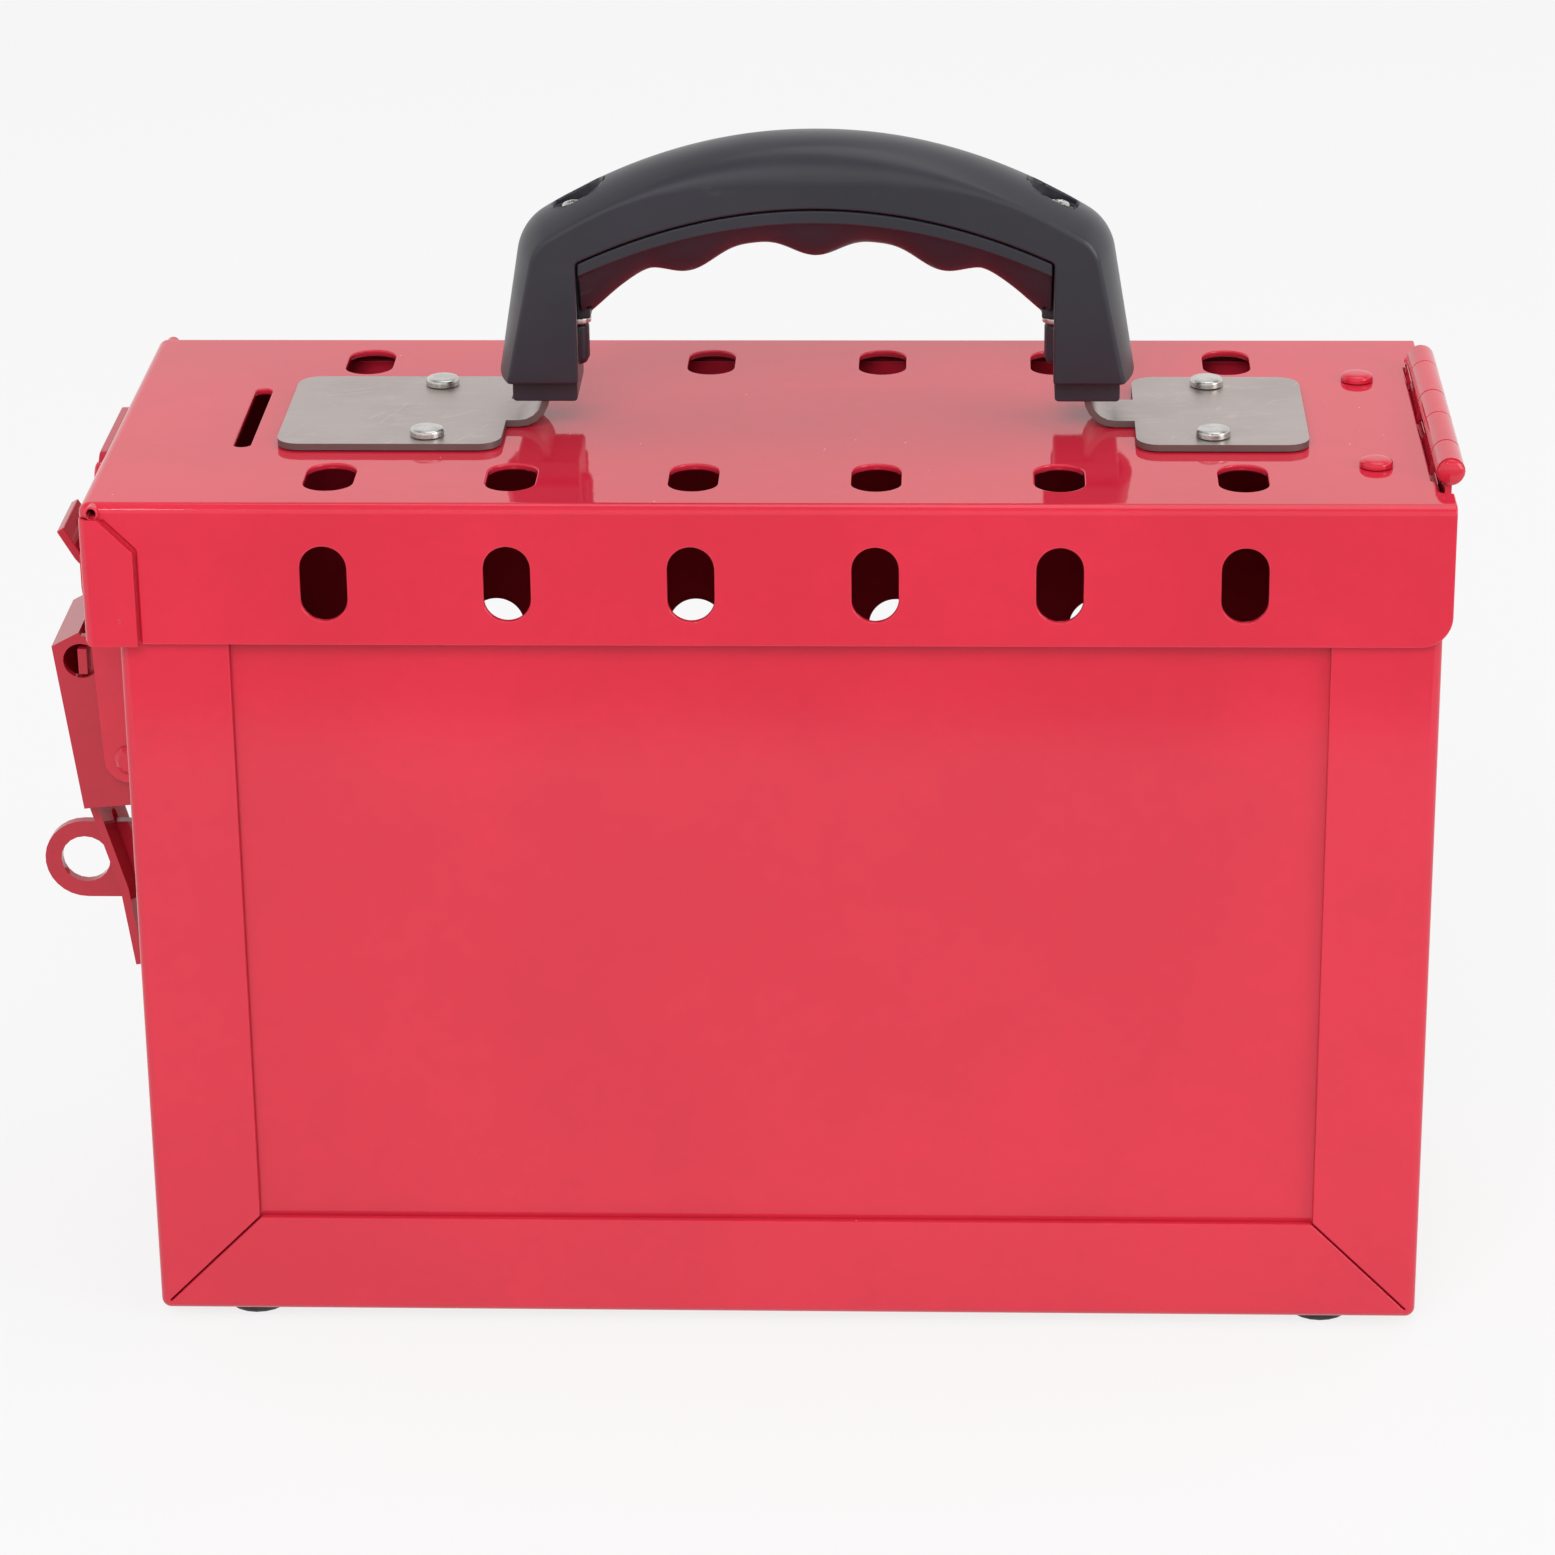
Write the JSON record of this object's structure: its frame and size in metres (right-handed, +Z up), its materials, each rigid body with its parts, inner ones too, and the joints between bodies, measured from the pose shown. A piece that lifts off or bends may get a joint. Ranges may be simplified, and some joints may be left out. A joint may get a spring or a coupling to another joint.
{
  "type": "group lockout box",
  "caption": "Folded steel box with a hinged lid that has shackle holes and slots round it, a carry handle on top, and a lever latch with a padlock staple at one end.",
  "frame": {"origin": "centre of the bounding box in plan, on the surface that the feet stand on", "axes": "+X runs along the box from the latch end to the hinge end, +Y to the back, +Z up; the front faces -Y"},
  "size_m": [0.254, 0.097, 0.2095],
  "materials": {
    "red_coat": "gloss red powder coat on sheet steel",
    "bracket_steel": "bare steel, lightly scuffed",
    "screw_steel": "plated steel",
    "handle_plastic": "moulded charcoal plastic, satin",
    "foot_rubber": "black rubber"
  },
  "bodies": {
    "case": {"case_wrap": "red_coat", "front_panel": "red_coat", "back_panel": "red_coat", "hinge_leaf_case": "red_coat", "hinge_pin": "red_coat", "hinge_rivet_case_front": "red_coat", "hinge_rivet_case_back": "red_coat", "latch_base": "red_coat", "latch_base_rivet_upper": "red_coat", "latch_base_rivet_lower": "red_coat", "padlock_staple": "red_coat", "staple_rivet_front": "red_coat", "staple_rivet_back": "red_coat", "foot_front_left": "foot_rubber", "foot_front_right": "foot_rubber", "foot_back_left": "foot_rubber", "foot_back_right": "foot_rubber", "foot_screw_front_left": "screw_steel", "foot_screw_front_right": "screw_steel", "foot_screw_back_left": "screw_steel", "foot_screw_back_right": "screw_steel"},
    "lid": {"lid_shell": "red_coat", "hinge_leaf_lid": "red_coat", "hinge_rivet_lid_front": "red_coat", "hinge_rivet_lid_back": "red_coat", "handle_bracket_left": "bracket_steel", "handle_bracket_right": "bracket_steel", "handle_rivet_left_front": "bracket_steel", "handle_rivet_left_back": "bracket_steel", "handle_rivet_right_front": "bracket_steel", "handle_rivet_right_back": "bracket_steel", "handle_shell": "handle_plastic", "handle_grip": "handle_plastic", "handle_screw_left": "screw_steel", "handle_screw_right": "screw_steel", "leg_plug_left": "handle_plastic", "leg_plug_right": "handle_plastic", "latch_catch": "red_coat", "catch_rivet_front": "red_coat", "catch_rivet_back": "red_coat"},
    "lever": {"latch_lever": "red_coat", "link_pin_front": "screw_steel", "link_pin_back": "screw_steel"},
    "link": {"latch_link": "red_coat"}
  },
  "joints": [
    {"name": "lid_hinge", "type": "hinge", "parent": "case", "child": "lid", "pos_m": [0.12455, 0, 0.1588], "axis": [0, 1, 0], "range_deg": [0, 105]},
    {"name": "lever_turn", "type": "hinge", "parent": "case", "child": "lever", "pos_m": [-0.11565, 0, 0.115], "axis": [0, 1, 0], "range_deg": [0, 90]},
    {"name": "link_swing", "type": "hinge", "parent": "lever", "child": "link", "pos_m": [-0.10795, 0, 0.0968], "axis": [0, 1, 0], "range_deg": [-49, 0]}
  ],
  "couplings": [
    {"joint": "link_swing", "follows": "lever_turn", "ratio": -0.54}
  ]
}
